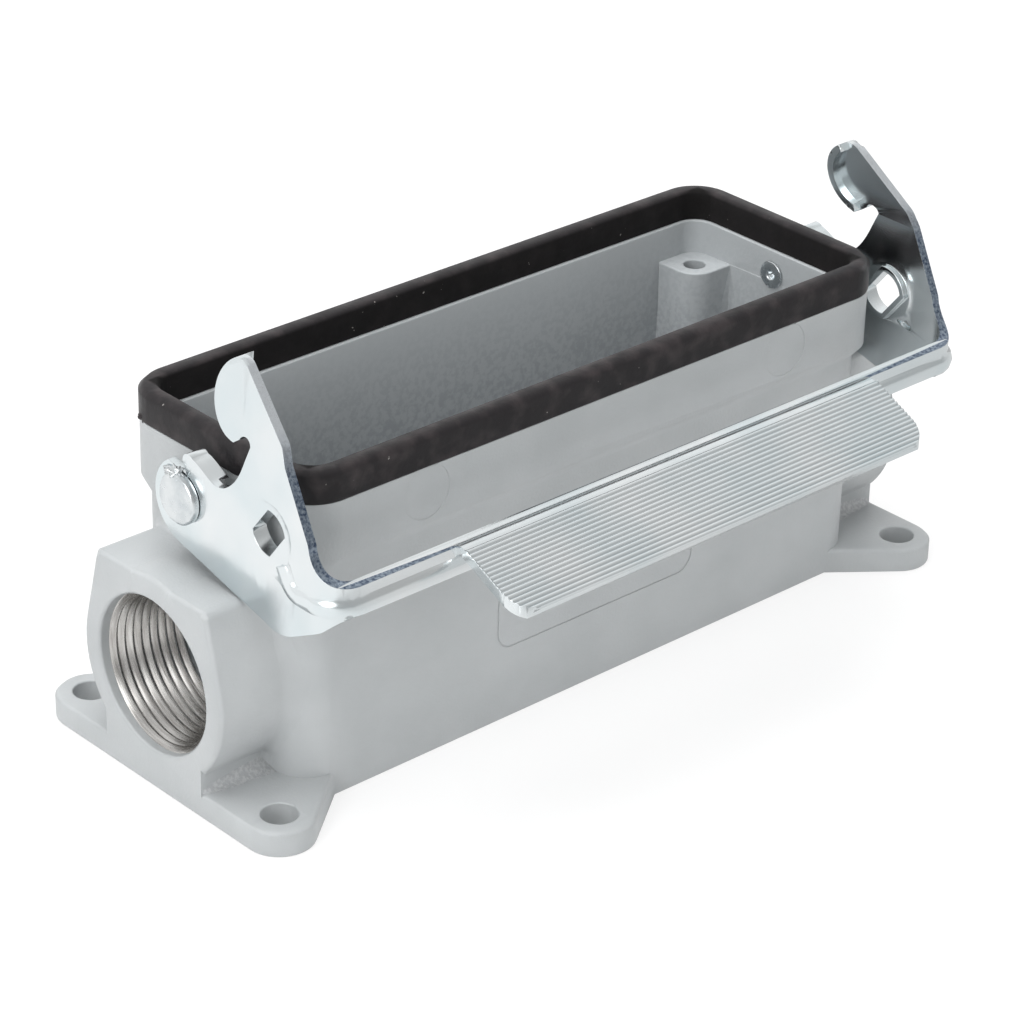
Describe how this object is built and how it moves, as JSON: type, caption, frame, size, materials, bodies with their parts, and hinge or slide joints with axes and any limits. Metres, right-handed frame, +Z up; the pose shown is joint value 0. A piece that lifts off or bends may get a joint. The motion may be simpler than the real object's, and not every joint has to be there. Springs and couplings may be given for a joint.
{
  "type": "surface mount connector housing",
  "caption": "Die-cast rectangular base housing for a multi-pole connector, with a threaded cable entry, a rim seal and a locking lever with ribbed grip on one long side.",
  "frame": {"origin": "centre of the base plane, in the middle of the four fixing holes", "axes": "+Z up out of the mouth, +X along the long side away from the threaded cable entry, -Y towards the grip of the lever"},
  "size_m": [0.143, 0.0758, 0.0716],
  "materials": {
    "grey_coated_casting": "light grey powder coat over die-cast aluminium, fine satin grain, machined bare in the thread",
    "black_rubber": "satin black moulded rubber",
    "zinc_plated_pin": "bright zinc plate",
    "zinc_plated_sheet": "blue-white passivated zinc plate on pressed steel sheet"
  },
  "bodies": {
    "housing": {"housing_body": "grey_coated_casting", "rim_seal": "black_rubber", "entry_pivot_pin": "zinc_plated_pin", "far_pivot_pin": "zinc_plated_pin"},
    "lever": {"locking_lever": "zinc_plated_sheet"}
  },
  "joints": [
    {"name": "lever_hinge", "type": "hinge", "parent": "housing", "child": "lever", "pos_m": [0, 0, 0.0463], "axis": [-1, 0, 0], "range_deg": [0, 49]}
  ]
}
